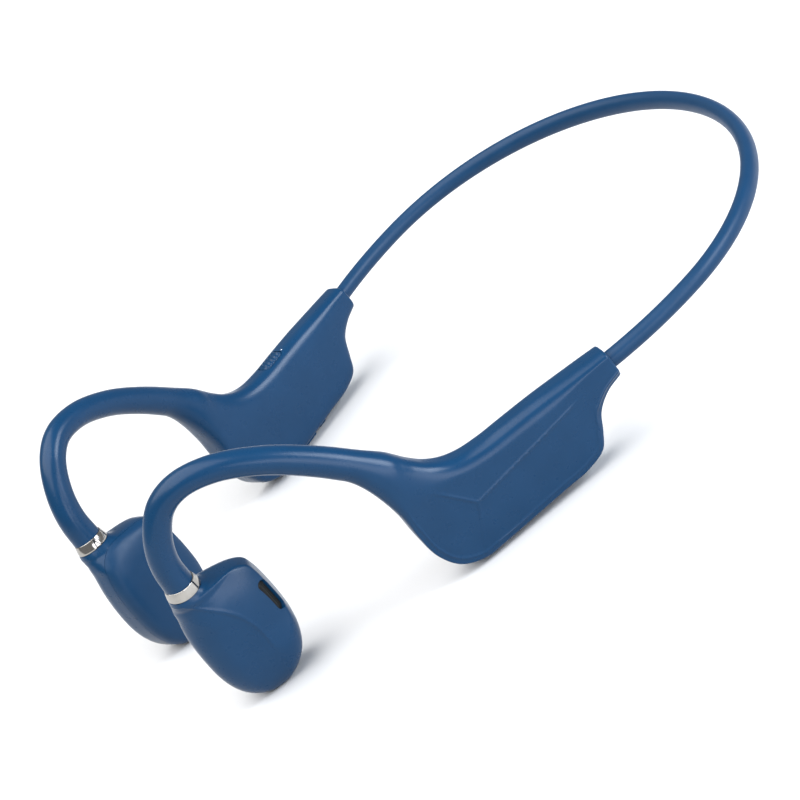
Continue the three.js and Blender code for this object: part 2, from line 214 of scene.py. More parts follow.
def centripetal(points, samples=2000):
    """A centripetal Catmull-Rom curve through the points, resampled by its length."""
    p = np.array(points, float)
    p = np.vstack([2 * p[0] - p[1], p, 2 * p[-1] - p[-2]])
    line = []
    for i in range(1, len(p) - 2):
        p0, p1, p2, p3 = p[i - 1 : i + 3]
        d0, d1, d2 = (np.linalg.norm(b - a) ** 0.5 for a, b in ((p0, p1), (p1, p2), (p2, p3)))
        m1 = (p2 - p1) + d1 * ((p1 - p0) / d0 - (p2 - p0) / (d0 + d1))
        m2 = (p2 - p1) + d1 * ((p3 - p2) / d2 - (p3 - p1) / (d1 + d2))
        s = np.linspace(0, 1, 200, endpoint=i == len(p) - 3)[:, None]
        line.append(
            p1 * (1 + 2 * s) * (1 - s) ** 2
            + m1 * s * (1 - s) ** 2
            + p2 * s**2 * (3 - 2 * s)
            + m2 * s**2 * (s - 1)
        )
    line = np.vstack(line)
    t = np.r_[0, np.cumsum(np.linalg.norm(np.diff(line, axis=0), axis=1))]
    at = np.linspace(0, t[-1], samples)
    return np.stack([np.interp(at, t, line[:, k]) for k in range(3)], axis=1)


ARM_LINE = centripetal(HOOK_POINTS)
ARM_STEPS = np.gradient(ARM_LINE, axis=0)
ARM_TANGENTS = ARM_STEPS / np.linalg.norm(ARM_STEPS, axis=1)[:, None]
HOOK_END = int(np.argmax((ARM_LINE[:, 1] > 86) & (ARM_LINE[:, 2] < 18.8)))
HOOK_START = int(np.argmax(ARM_LINE[:, 2] > 16.2))
END_POINT = ARM_LINE[HOOK_END]
END_DOWN = ARM_TANGENTS[HOOK_END]


# ---- Meshes ----
def mesh_piece(name, points, faces, side="right"):
    points = np.array(points, float)
    faces = [list(face) for face in faces]
    if side == "left":
        points = points * (-1, 1, 1)
        faces = [face[::-1] for face in faces]
    mesh = bpy.data.meshes.new(name)
    mesh.from_pydata(to_row(points).tolist(), [], faces)
    mesh.polygons.foreach_set("use_smooth", [True] * len(mesh.polygons))
    mesh.update()
    piece = bpy.data.objects.new(name, mesh)
    bpy.context.scene.collection.objects.link(piece)
    return piece


def skinned(rings):
    """Points and faces of the closed skin over a row of rings, closed by a point at each end."""
    n, m, _ = rings.shape
    ends = np.stack([rings[0].mean(axis=0), rings[-1].mean(axis=0)])
    points = np.vstack([rings.reshape(-1, 3), ends])
    i, j = np.meshgrid(np.arange(n - 1), np.arange(m), indexing="ij")
    a, b = (i * m + j).ravel(), (i * m + (j + 1) % m).ravel()
    faces = np.stack([a, b, b + m, a + m], axis=1).tolist()
    last = (n - 1) * m
    faces += [[n * m, (k + 1) % m, k] for k in range(m)]
    faces += [[n * m + 1, last + k, last + (k + 1) % m] for k in range(m)]
    return points, faces


def joined(*parts):
    """Several (points, faces) as one."""
    points, faces, count = [], [], 0
    for part_points, part_faces in parts:
        points.append(part_points)
        faces += [[index + count for index in face] for face in part_faces]
        count += len(part_points)
    return np.vstack(points), faces


def inside_out(part):
    points, faces = part
    return points, [face[::-1] for face in faces]


def angles(count):
    return np.arange(count) * 2 * math.pi / count


def unit_section(powers, count):
    """A rounded section of half height and half width 1 for each row: its up and out coordinates.

    Four powers for each row say how square its quarters are: up and out, up and in, down and out,
    down and in.
    """
    c, s = np.cos(angles(count)), np.sin(angles(count))
    quarter = np.where(c > 0, 0, 2) + np.where(s > 0, 0, 1)
    power = np.asarray(powers)[:, quarter]
    reach = (np.abs(c) ** power + np.abs(s) ** power) ** (-1 / power)
    return reach * c, reach * s


def tube(line, radius, sides, tall=1.0):
    """Rings round a level curve. They are taller than wide by the factor tall, one for each point."""
    tangents = np.gradient(line, axis=0)
    tangents /= np.linalg.norm(tangents, axis=1)[:, None]
    across = np.cross(tangents, (0, 0, 1))
    across /= np.linalg.norm(across, axis=1)[:, None]
    up = np.cross(across, tangents)
    tall = np.broadcast_to(tall, len(line))[:, None, None]
    c, s = np.cos(angles(sides))[None, :, None], np.sin(angles(sides))[None, :, None]
    return line[:, None] + radius * (tall * c * up[:, None] + s * across[:, None])


def lathe(profile, sides, place, axis):
    """A closed ring: a profile of (radius, distance along the axis) turned about the axis."""
    axis = np.array(axis, float)
    side_a = np.cross(axis, (0, 1, 0))
    side_a /= np.linalg.norm(side_a)
    side_b = np.cross(axis, side_a)
    turn = angles(sides)
    round_ = np.cos(turn)[:, None] * side_a + np.sin(turn)[:, None] * side_b
    profile = np.array(profile, float)
    points = place + profile[:, 1, None, None] * axis + profile[:, 0, None, None] * round_[None]
    n, m = len(profile), sides
    faces = [
        [i * m + j, i * m + (j + 1) % m, ((i + 1) % n) * m + (j + 1) % m, ((i + 1) % n) * m + j]
        for i in range(n)
        for j in range(m)
    ]
    return points.reshape(-1, 3), faces


def cut(piece, cutter, operation="DIFFERENCE"):
    """A boolean with a cutter that is then deleted."""
    step = piece.modifiers.new("cut", "BOOLEAN")
    step.operation = operation
    step.solver = "EXACT"
    step.object = cutter
    bpy.context.view_layer.update()
    evaluated = piece.evaluated_get(bpy.context.evaluated_depsgraph_get())
    mesh = bpy.data.meshes.new_from_object(evaluated)
    piece.modifiers.clear()
    piece.data = mesh
    bpy.data.objects.remove(cutter)


def keep_flats_flat(piece, limit=35):
    """Smooth shading except at edges sharper than the limit, in degrees."""
    piece.data.shade_smooth()
    piece.data.set_sharp_from_angle(angle=math.radians(limit))


# ---- Materials ----
class Finish:
    """A material under construction: a principled shader with procedural inputs in object space."""

    def __init__(self, name, **values):
        self.material = bpy.data.materials.new(name)
        self.material.use_nodes = True
        self.tree = self.material.node_tree
        self.shader = self.tree.nodes["Principled BSDF"]
        self.space = self.node("ShaderNodeTexCoord").outputs["Object"]
        for label, value in values.items():
            self.shader.inputs[label.replace("_", " ")].default_value = value

    def node(self, kind, **inputs):
        made = self.tree.nodes.new(kind)
        for label, value in inputs.items():
            self.feed(made.inputs[label.replace("_", " ")], value)
        return made

    def feed(self, socket, value):
        if isinstance(value, bpy.types.NodeSocket):
            self.tree.links.new(value, socket)
        else:
            socket.default_value = value

    def noise(self, scale, detail=3, roughness=0.5):
        """Noise of about one blob per 1/scale of a metre."""
        made = self.node("ShaderNodeTexNoise", Vector=self.space, Scale=scale, Detail=detail)
        made.inputs["Roughness"].default_value = roughness
        return made.outputs["Fac"]

    def ramp(self, factor, low, high, start=0.3, end=0.7):
        """A colour that goes from low to high as the factor goes from start to end."""
        made = self.node("ShaderNodeValToRGB", Fac=factor)
        for element, place, colour in zip(made.color_ramp.elements, (start, end), (low, high)):
            element.position = place
            element.color = (*colour, 1)
        return made.outputs["Color"]

    def range(self, factor, low, high):
        made = self.node("ShaderNodeMapRange", Value=factor)
        made.inputs["To Min"].default_value = low
        made.inputs["To Max"].default_value = high
        return made.outputs["Result"]

    def bump(self, height, distance, strength=1.0):
        """Relief of the given depth in millimetres."""
        made = self.node("ShaderNodeBump", Height=height, Distance=distance * MM, Strength=strength)
        self.tree.links.new(made.outputs["Normal"], self.shader.inputs["Normal"])

    def set(self, label, value):
        self.feed(self.shader.inputs[label], value)
        return self


NAVY = (0.002, 0.029, 0.078)
NAVY_WORN = (0.003, 0.0325, 0.086)


def moulded_navy():
    """Satin moulded plastic: faint mould grain, slight differences in colour and gloss."""
    finish = Finish("satin_navy_plastic", Roughness=0.34)
    finish.set("Base Color", finish.ramp(finish.noise(140, 4), NAVY, NAVY_WORN))
    finish.set("Roughness", finish.range(finish.noise(420, 4), 0.25, 0.31))
    finish.set("Specular IOR Level", 0.22)
    finish.bump(finish.noise(9000, 2), 0.004, 0.5)
    return finish.material


def soft_silicone():
    """Silicone with a dry, powdery surface and a soft sheen."""
    finish = Finish("navy_silicone", Roughness=0.44)
    finish.set("Base Color", finish.ramp(finish.noise(160, 5), NAVY, NAVY_WORN))
    finish.set("Roughness", finish.range(finish.noise(700, 4), 0.36, 0.48))
    finish.set("Specular IOR Level", 0.22)
    finish.set("Sheen Weight", 0.04)
    finish.set("Sheen Roughness", 0.4)
    finish.set("Sheen Tint", (0.4, 0.55, 0.95, 1))
    finish.bump(finish.noise(6500, 3), 0.006, 0.6)
    return finish.material


def polished_metal():
    """Chrome plate with faint turning marks."""
    finish = Finish("polished_metal", Metallic=1.0, Roughness=0.14)
    finish.set("Base Color", finish.ramp(finish.noise(500), (0.34, 0.33, 0.31), (0.42, 0.4, 0.37)))
    finish.set("Roughness", finish.range(finish.noise(2500, 4), 0.07, 0.15))
    finish.bump(finish.noise(5000, 2), 0.002, 0.4)
    return finish.material


def drawn_steel():
    finish = Finish("drawn_steel", Metallic=1.0, Roughness=0.3)
    finish.set("Base Color", finish.ramp(finish.noise(900, 5), (0.4, 0.4, 0.41), (0.58, 0.58, 0.6)))
    finish.set("Roughness", finish.range(finish.noise(3000, 5), 0.2, 0.42))
    finish.bump(finish.noise(7000, 3), 0.004, 0.6)
    return finish.material


def nickel_magnet():
    finish = Finish("nickel_magnet", Metallic=1.0, Roughness=0.3)
    finish.set("Base Color", finish.ramp(finish.noise(700, 5), (0.22, 0.23, 0.25), (0.36, 0.37, 0.39)))
    finish.set("Roughness", finish.range(finish.noise(2600, 5), 0.22, 0.4))
    finish.bump(finish.noise(5000, 4), 0.008, 0.6)
    return finish.material


def wound_copper():
    """Enamelled copper wire, wound in fine turns."""
    finish = Finish("wound_copper", Metallic=1.0, Roughness=0.32)
    turns = finish.node("ShaderNodeTexWave", Vector=finish.space, Scale=1600)
    turns.bands_direction = "X"
    finish.set("Base Color", finish.ramp(turns.outputs["Fac"], (0.3, 0.1, 0.03), (0.66, 0.28, 0.11)))
    finish.bump(turns.outputs["Fac"], 0.05)
    return finish.material


def acoustic_mesh():
    """Fine black woven mesh: crossed threads with dark gaps."""
    finish = Finish("acoustic_mesh", Roughness=0.6)
    finish.set("Specular IOR Level", 0.2)
    cells = finish.node("ShaderNodeTexVoronoi", Vector=finish.space, Scale=2600)
    cells.inputs["Randomness"].default_value = 0.15
    threads = finish.range(cells.outputs["Distance"], 1, 0)
    finish.set("Base Color", finish.ramp(threads, (0.001, 0.001, 0.001), (0.012, 0.014, 0.013)))
    finish.bump(threads, 0.06)
    return finish.material


def circuit_board():
    """Green solder mask over copper traces."""
    finish = Finish("circuit_board", Roughness=0.38)
    traces = finish.node("ShaderNodeTexBrick", Vector=finish.space, Scale=900)
    traces.inputs["Color1"].default_value = (0.01, 0.1, 0.04, 1)
    traces.inputs["Color2"].default_value = (0.014, 0.13, 0.05, 1)
    traces.inputs["Mortar"].default_value = (0.05, 0.24, 0.1, 1)
    traces.inputs["Mortar Size"].default_value = 0.06
    finish.set("Base Color", traces.outputs["Color"])
    finish.bump(traces.outputs["Fac"], 0.03)
    return finish.material


def black_moulding():
    finish = Finish("black_moulding", Roughness=0.5)
    finish.set("Base Color", finish.ramp(finish.noise(600, 4), (0.009, 0.009, 0.01), (0.018, 0.018, 0.02)))
    finish.set("Roughness", finish.range(finish.noise(1800, 4), 0.4, 0.6))
    finish.bump(finish.noise(6000, 3), 0.01, 0.6)
    return finish.material


def cell_foil():
    """Crimped aluminium laminate of a pouch cell."""
    finish = Finish("cell_foil", Metallic=0.85, Roughness=0.35)
    finish.set("Base Color", finish.ramp(finish.noise(300, 5), (0.5, 0.52, 0.55), (0.68, 0.7, 0.73)))
    finish.set("Roughness", finish.range(finish.noise(1200, 5), 0.28, 0.46))
    finish.bump(finish.noise(450, 4), 0.12, 0.7)
    return finish.material


def light_lens():
    """Frosted light pipe with the status light faintly on."""
    finish = Finish("light_lens", Roughness=0.2)
    finish.set("Base Color", finish.ramp(finish.noise(3000, 3), (0.78, 0.83, 0.95), (0.92, 0.95, 1)))
    finish.set("Transmission Weight", 0.3)
    finish.set("Emission Color", (0.75, 0.86, 1, 1))
    finish.set("Emission Strength", 0.5)
    finish.bump(finish.noise(9000, 2), 0.01, 0.5)
    return finish.material


MATERIALS = {
    "navy_plastic": moulded_navy(),
    "navy_silicone": soft_silicone(),
    "polished_metal": polished_metal(),
    "steel": drawn_steel(),
    "magnet": nickel_magnet(),
    "copper": wound_copper(),
    "dark_mesh": acoustic_mesh(),
    "circuit_board": circuit_board(),
    "black_plastic": black_moulding(),
    "cell_foil": cell_foil(),
    "light_lens": light_lens(),
}


def finished(piece, slot):
    """The piece takes the finish of a slot of the record."""
    piece.data.materials.clear()
    piece.data.materials.append(MATERIALS[slot])
    return piece


ARM = {"right": "right_arm", "left": "left_arm"}


# ---- Neckband and its wire: one piece each ----
def band_line(spacing):
    front = math.asin((BAND_INSIDE - BAND["widest_y"]) / BAND["front"])
    half = np.linspace(front, -math.pi / 2, int(240 / spacing))
    depth = np.where(half > 0, BAND["front"], BAND["rear"])
    x = BAND["half_width"] * np.cos(half)
    y = BAND["widest_y"] + depth * np.sin(half)
    line = np.stack([x, y, 0 * x], axis=1)
    return np.vstack([line, line[-2::-1] * (-1, 1, 1)])


def neckband():
    line = band_line(1.0)
    ends, nape = BAND["tall"]
    tall = ends + (nape - ends) * smoothstep(-line[:, 1], 20, -NAPE)
    pieces = (
        ("neckband_sleeve", tube(line, BAND["radius"], 40, tall), "navy_silicone"),
        ("memory_wire", tube(line, BAND["wire"], 12), "steel"),
    )
    for name, rings, slot in pieces:
        piece = mesh_piece(name, *skinned(rings))
        finished(piece, slot)
        ends = [to_row((x, NAPE, 0)) for x in (BAND_SOFT, -BAND_SOFT)]
        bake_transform(piece)
        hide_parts(f"{name}_right", f"{name}_left")


# ---- Arm: a pod that runs on into the ear hook without a seam ----
# Stations from the rear end forward: a point on the top edge and one on the bottom edge as (along, up),
# half the thickness, and how square the section is above, below on the outside and below on the inside.
POD_STATIONS = (
    ((0.8, 3.35), (0.7, -3.3), 3.3, (3.2, 3.6, 3.2)),
    ((4, 3.6), (4.1, -4.1), 3.5, (3.4, 4.0, 3.6)),
    ((8, 3.95), (7.7, -6.4), 3.8, (3.4, 5.0, 3.3)),
    ((12, 4.3), (10.0, -10.1), 4.1, (3.4, 6.5, 4.0)),
    ((15.5, 4.6), (12.1, -12.9), 4.25, (3.4, 7.5, 5.8)),
    ((19, 4.8), (16, -14.1), 4.3, (3.4, 8.0, 6.5)),
    ((24, 5.0), (23, -14.25), 4.3, (3.4, 8.0, 6.5)),
    ((30, 5.25), (31, -14.35), 4.3, (3.4, 8.0, 6.5)),
    ((34.5, 5.95), (37.5, -14.4), 4.3, (3.4, 8.0, 6.5)),
    ((38, 7.4), (43.6, -14.1), 4.3, (3.3, 7.8, 6.5)),
    ((40.5, 9.3), (47.9, -11.8), 4.3, (3.1, 7.0, 5.8)),
    ((42.6, 11.8), (50.4, -7.3), 4.3, (2.8, 5.6, 4.6)),
    ((44.1, 14.1), (51.1, -1.4), 4.3, (2.5, 4.6, 3.8)),
    ((45.2, 15.8), (51.2, 4.7), 4.3, (2.3, 3.6, 3.0)),
)
LOWER_EDGE = -14.4
SKIM = 0.25  # how much thicker the outer side is before its flats are cut
BEAD = {"height": 0.17, "width": 0.26}  # fine raised line along a crease
# Chamfer along the outer face's lower and rear edges.
RIM = {"width": 1.5, "slope": 0.6, "soft": 0.12, "bead": 0.9}
# Where the outer face's three flats meet, and the directions of the ridges from there.
FOLD = {"at": (37.7, -2.9), "slope": 0.05, "front": 1.95, "soft": 0.05}
FOLD_RIDGES = {"rear": (-26, 2.5), "top": (5.4, 7.4)}
# Where the flat face fades into the round hook, measured in this direction (along, up) across the pod.
RUN_OUT = {"toward": (0.6, 0.8), "from": 25, "to": 42, "lift": 1.6, "soft": 0.6}


def hook_radius(t):
    grow = (HOOK["root"] - HOOK["middle"]) * (1 - t) ** 3
    return HOOK["middle"] + grow + (HOOK["tip"] - HOOK["middle"]) * t**4


def arm_stations(inset):
    """Top point, bottom point, outward half width and four squarenesses for each station, in one row."""
    rows = []
    for (ta, tz), (ba, bz), half, (above, below_out, below_in) in POD_STATIONS:
        top, bottom = np.array([ta, tz]), np.array([ba, bz])
        inward = (bottom - top) / np.linalg.norm(bottom - top) * inset
        ends = [in_pod((*point, 0)) for point in (top + inward, bottom - inward)]
        rows.append([*ends[0], *ends[1], *(half - inset) * POD_AXES[2], above, above, below_out, below_in])
    if inset:
        return rows[4:11]
    for index in range(HOOK_START + 80, HOOK_END, 60):
        rows.append(hook_station(index))
    rows.append(hook_station(HOOK_END))
    return rows


def hook_station(index):
    t = (index - HOOK_START) / (HOOK_END - HOOK_START)
    tangent = ARM_TANGENTS[index]
    out = POD_AXES[2] - tangent * np.dot(POD_AXES[2], tangent)
    out /= np.linalg.norm(out)
    up = np.cross(out, tangent)
    radius = hook_radius(t)
    middle = ARM_LINE[index] + HOOK["raised"] * up
    return [*(middle + radius * up), *(middle - radius * up), *radius * out, 2, 2, 2, 2]


def bead(distance):
    return BEAD["height"] * np.exp(-((distance / BEAD["width"]) ** 2))


def fold(a, z):
    """Height of the outer face over its highest point: three flats that meet in a shallow Y."""
    slope = FOLD["slope"]
    rear, top = (np.array(FOLD_RIDGES[key]) / np.linalg.norm(FOLD_RIDGES[key]) for key in ("rear", "top"))
    over_rear = np.array([rear[1], -rear[0]])
    over_top = np.array([-top[1], top[0]])
    upper = -slope * over_rear
    lower = slope * over_rear
    front = upper + FOLD["front"] * slope * over_top
    offset = np.stack([a - FOLD["at"][0], z - FOLD["at"][1]], axis=-1)
    flats = np.stack([offset @ upper, offset @ lower, offset @ front])
    lowest, next_lowest, _ = np.sort(flats, axis=0)
    height = lower_of(lower_of(flats[0], flats[1], FOLD["soft"]), flats[2], FOLD["soft"])
    strength = smoothstep(a, 8, 14) * (1 - 0.6 * smoothstep(-z, 4, 8)) * (1 - smoothstep(z, 2, 6))
    return height + bead((next_lowest - lowest) / (2 * slope)) * strength


def arm_rings(inset=0.0, count=312, spacing=0.34):
    """Sections of the pod and its hook. Inset ones line the pod and leave the face's flats out."""
    rows = through(arm_stations(inset), spacing, 6)
    if not inset:
        hook = int(np.argmax(rows[:, 2] > 17))
        rows = np.vstack([rows[:hook], rows[hook:-1:3], rows[-1:]])
    top, bottom, half = rows[:, None, 0:3], rows[:, None, 3:6], rows[:, None, 6:9]
    up, out = unit_section(rows[:, 9:13], count)
    rings = (top + bottom) / 2 + (top - bottom) / 2 * up[..., None] + half * out[..., None]
    if inset:
        return rings
    local = (rings - POD_ORIGIN) @ POD_AXES.T
    edge = (rows[:, 3:6] - POD_ORIGIN) @ POD_AXES.T
    heading = np.gradient(edge[:, :2], axis=0)
    heading /= np.linalg.norm(heading, axis=1)[:, None]
    gap = local[..., :2] - edge[:, None, :2]
    from_edge = np.abs(gap[..., 0] * heading[:, None, 1] - gap[..., 1] * heading[:, None, 0])
    thickness = np.linalg.norm(rows[:, 6:9], axis=1)[:, None]
    toward = RUN_OUT["toward"]
    run = local[..., 0] * toward[0] + local[..., 1] * toward[1]
    on_pod = 1 - smoothstep(run, RUN_OUT["from"], RUN_OUT["to"])
    outward = local[..., 2] + SKIM * np.clip(out, 0, 1) * on_pod
    height = thickness + RUN_OUT["lift"] * (1 - on_pod)
    face = height + fold(local[..., 0], local[..., 1]) * smoothstep(local[..., 0], 2, 14)
    inside_rim = from_edge - RIM["width"]
    face = lower_of(face, height + inside_rim * RIM["slope"], RIM["soft"])
    face = face + RIM["bead"] * bead(inside_rim) * on_pod
    flat = lower_of(outward, face, 0.1 + RUN_OUT["soft"] * (1 - on_pod))
    local[..., 2] = np.where(out > 0, flat, local[..., 2])
    return local @ POD_AXES + POD_ORIGIN


def with_rims(rings, rear_rim, front_rim, steps=5):
    """Rings with a rounded rim and a flat cap added at both ends."""

    def cap(ring, neighbour, rim):
        middle = ring.mean(axis=0)
        outward = middle - neighbour.mean(axis=0)
        outward /= np.linalg.norm(outward)
        size = np.linalg.norm(ring - middle, axis=1).mean()
        turn = np.linspace(0, math.pi / 2, steps + 1)[1:]
        rounded = []
        for q in turn:
            narrower = 1 - rim * (1 - math.cos(q)) / size
            rounded.append(middle + (ring - middle) * narrower + outward * rim * math.sin(q))
        flat = [middle + (rounded[-1] - middle) * share for share in (0.75, 0.5, 0.25)]
        return rounded + flat

    rear = cap(rings[0], rings[1], rear_rim)[::-1]
    front = cap(rings[-1], rings[-2], front_rim)
    return np.concatenate([np.array(rear), rings, np.array(front)])


def pod_block(a, z, w, rounding=0.3, count=48):
    """A rounded block in the pod, as a cutter or a piece: ranges along, up and out."""
    outline = rounded_outline((a[0], w[0]), (a[1], w[1]), rounding, count)
    rings = []
    for height in z:
        rings.append(in_pod(np.stack([outline[:, 0], np.full(count, height), outline[:, 1]], axis=1)))
    return skinned(np.array(rings)[:, ::-1])


def rounded_outline(low, high, radius, count):
    """Evenly turned outline of a rectangle with rounded corners, as points in its plane."""
    middle = (np.array(low) + np.array(high)) / 2
    half = (np.array(high) - np.array(low)) / 2 - radius
    turn = angles(count) + math.pi / count
    corner = np.stack([np.sign(np.cos(turn)), np.sign(np.sin(turn))], axis=1) * half
    return middle + corner + radius * np.stack([np.cos(turn), np.sin(turn)], axis=1)


def cover_outline(grow, count=72):
    """The port cover's outline, square at its hinge and round at its free end, as (along, out)."""
    end = PORT_COVER["width"] / 2 + grow
    low, high = PORT_COVER["from"] - grow, PORT_COVER["to"] + grow
    middle = high - end
    turn = np.linspace(-math.pi / 2, math.pi / 2, count // 2)
    nose = np.stack([middle + end * np.cos(turn), end * np.sin(turn)], axis=1)
    corner = 0.5
    turn = np.linspace(math.pi / 2, math.pi, count // 4)
    upper = np.stack([low + corner + corner * np.cos(turn), end - corner + corner * np.sin(turn)], axis=1)
    lower = upper[::-1] * (1, -1)
    return np.vstack([nose, upper, lower])


def plate_rings(outline, heights, insets):
    """Rings of a plate lying across the pod's up direction, one for each height and inset."""
    middle = outline.mean(axis=0)
    heading = np.roll(outline, -1, axis=0) - np.roll(outline, 1, axis=0)
    normal = np.stack([heading[:, 1], -heading[:, 0]], axis=1)
    normal /= np.linalg.norm(normal, axis=1)[:, None]
    normal *= np.sign(np.sum(normal * (outline - middle), axis=1))[:, None]
    rings = []
    for height, inset in zip(heights, insets):
        flat = outline - normal * inset
        rings.append(in_pod(np.stack([flat[:, 0], np.full(len(flat), height), flat[:, 1]], axis=1)))
    return np.array(rings)[:, ::-1]


def arm(side):
    outer = skinned(with_rims(arm_rings(), 0.55, 0.25))
    cavity = inside_out(skinned(arm_rings(WALL, 64, 1.5)))
    skin = mesh_piece(f"arm_skin_{side}", *joined(outer, cavity), side)
    if side == "right":
        control_openings(skin)
    keep_flats_flat(skin, 38)
    finished(skin, "navy_plastic")
    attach(skin, ARM[side])
    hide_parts(f"pod_outer_shell_{side}", f"pod_inner_shell_{side}", f"ear_hook_{side}")


def light_rings(profile, count=24):
    """A round piece or hole at the status light: (radius, height) pairs upwards."""
    turn = angles(count)
    rings = []
    for radius, height in profile:
        along = LIGHT["along"] + radius * np.cos(turn)
        out = LIGHT["out"] - radius * np.sin(turn)
        rings.append(in_pod(np.stack([along, np.full(count, height), out], axis=1)))
    return skinned(np.array(rings))


def control_openings(skin):
    """Openings in the right pod for its two buttons, its status light and its charging port."""
    gap = 0.14
    half = FUNCTION_BUTTON["width"] / 2 + gap
    along = (FUNCTION_BUTTON["from"] - gap, FUNCTION_BUTTON["to"] + gap)
    middle = FUNCTION_BUTTON["out"]
    well = (1.9, 9)
    cutters = [pod_block(along, well, (middle - half, middle + half), 1.2)]
    hole, dish = LIGHT["hole"], LIGHT["dish"]
    cutters.append(light_rings(((hole, 1.5), (hole, 4.6), (dish, 4.95), (dish, 7))))
    half = POWER_BUTTON["width"] / 2 + gap
    along = (POWER_BUTTON["from"] - gap, POWER_BUTTON["to"] + gap)
    below = LOWER_EDGE - 3
    cutters.append(pod_block(along, (below, LOWER_EDGE + 2.5), (-half, half), 0.9))
    seat = LOWER_EDGE + PORT_COVER["thickness"] - PORT_COVER["proud"] + 0.15
    cutters.append(skinned(plate_rings(cover_outline(0.2), (below, seat), (0, 0))))
    cutters.append(pod_block(PORT["along"], (below, LOWER_EDGE + 2.4), PORT["across"], 1.5))
    for points, faces in cutters:
        cut(skin, mesh_piece("cutter", points, faces))


# ---- Trim ring between the hook and the transducer housing ----
def trim_ring(side):
    gap, length = RING["gap"], RING["length"]
    edge = RING["edge"]
    flank = []
    for share in np.linspace(0, 1, 9):
        radius = RING["upper"] + (RING["lower"] - RING["upper"]) * share
        bulge = RING["bulge"] * math.sin(math.pi * share)
        flank.append((radius + bulge, gap + edge + (length - 2 * edge) * share))
    upper_rim, lower_rim = [], []
    for q in (0, 0.5, 1.05):
        inset, drop = edge * (1 - math.sin(q)), edge * (1 - math.cos(q))
        upper_rim.append((RING["upper"] - inset, gap + drop))
        lower_rim.insert(0, (RING["lower"] - inset, gap + length - drop))
    bore = [(RING["bore"], gap + length), (RING["bore"], gap)]
    profile = upper_rim + flank + lower_rim + bore
    ring = mesh_piece(f"trim_ring_shell_{side}", *lathe(profile, 96, END_POINT, END_DOWN), side)
    keep_flats_flat(ring, 50)
    finished(ring, "polished_metal")
    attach(ring, ARM[side])
    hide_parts(f"trim_ring_{side}")


# ---- Transducer housing and contact pad: one body cut in two at the seam ----
# Stations from the neck down: height, rear and front reach, outer and inner reach, and squareness.
DRIVER_STATIONS = (
    (15.0, (-1.4, 7.5), (5.9, -2.4), 2.1),
    (14.5, (-3.2, 7.6), (6.0, -2.9), 2.2),
    (13.7, (-5.5, 7.9), (6.1, -3.7), 2.4),
    (12.5, (-7.5, 8.3), (6.2, -4.4), 2.6),
    (11, (-9.0, 8.55), (6.2, -4.9), 2.8),
    (9, (-9.5, 9.1), (6.2, -5.3), 2.9),
    (7, (-9.7, 9.55), (6.2, -5.45), 3.0),
    (4, (-9.8, 9.9), (6.2, -5.6), 3.1),
    (0, (-9.75, 10.1), (6.15, -5.7), 3.1),
    (-4, (-9.4, 10.0), (6.0, -5.7), 3.0),
    (-7, (-8.5, 9.5), (5.6, -5.6), 3.0),
    (-10, (-6.9, 8.4), (4.9, -5.2), 2.9),
    (-12.2, (-4.8, 6.8), (4.0, -4.6), 2.7),
    (-13.6, (-2.8, 5.1), (2.9, -3.7), 2.4),
    (-14.4, (-1.0, 3.2), (1.6, -2.2), 2.2),
    (-14.65, (0.6, 1.7), (0.2, -0.6), 2.0),
)
INNER_SQUARER = 1.6  # the contact pad's side is squarer than the outer side
FRONT_ROUNDER = 0.3  # and the outer front corner is rounder high on the housing
# High on the housing the outer side is thicker before it is cut, and the cut's edge is softer.
SHOULDER = {"spare": 0.35, "soft": 2.2}
FACET = {
    "at": (-3.0, 5.7),
    "ridge": (1, 1.09),
    "slope": 0.24,
    "curve": 0.04,
    "corner": 4.0,
    "soft": 0.1,
    "lift": 1.3,
    "bead": 1.4,
}


def facet_height(b, z):
    """Height of the outer face over its front facet: behind and above the crease it falls away."""
    ridge = np.array(FACET["ridge"]) / np.linalg.norm(FACET["ridge"])
    over_ridge = (b - FACET["at"][0]) * -ridge[1] + (z - FACET["at"][1]) * ridge[0]
    behind = FACET["at"][0] - b
    beyond = -lower_of(-over_ridge, -behind, FACET["corner"])
    slope = FACET["slope"] * (1 - 0.7 * smoothstep(-z, 0, 9))
    fall = slope * beyond + FACET["curve"] * np.maximum(beyond, 0) ** 2 * smoothstep(z, -10, 2)
    strength = smoothstep(z, -8, -1)
    return lower_of(0 * b, -fall, FACET["soft"]) + FACET["bead"] * bead(beyond) * strength


def neck_station():
    """The round top of the housing, just under the trim ring, and the ring's tilt there."""
    under = RING["gap"] * 2 + RING["length"]
    b, z, w = (END_POINT + under * END_DOWN - DRIVER_ORIGIN) @ DRIVER_AXES.T
    tilt = END_DOWN @ DRIVER_AXES.T
    radius = RING["lower"] - 0.05
    return (z, (b - radius, b + radius), (w + radius, w - radius), 2.0), (b, z, w), tilt / tilt[1]


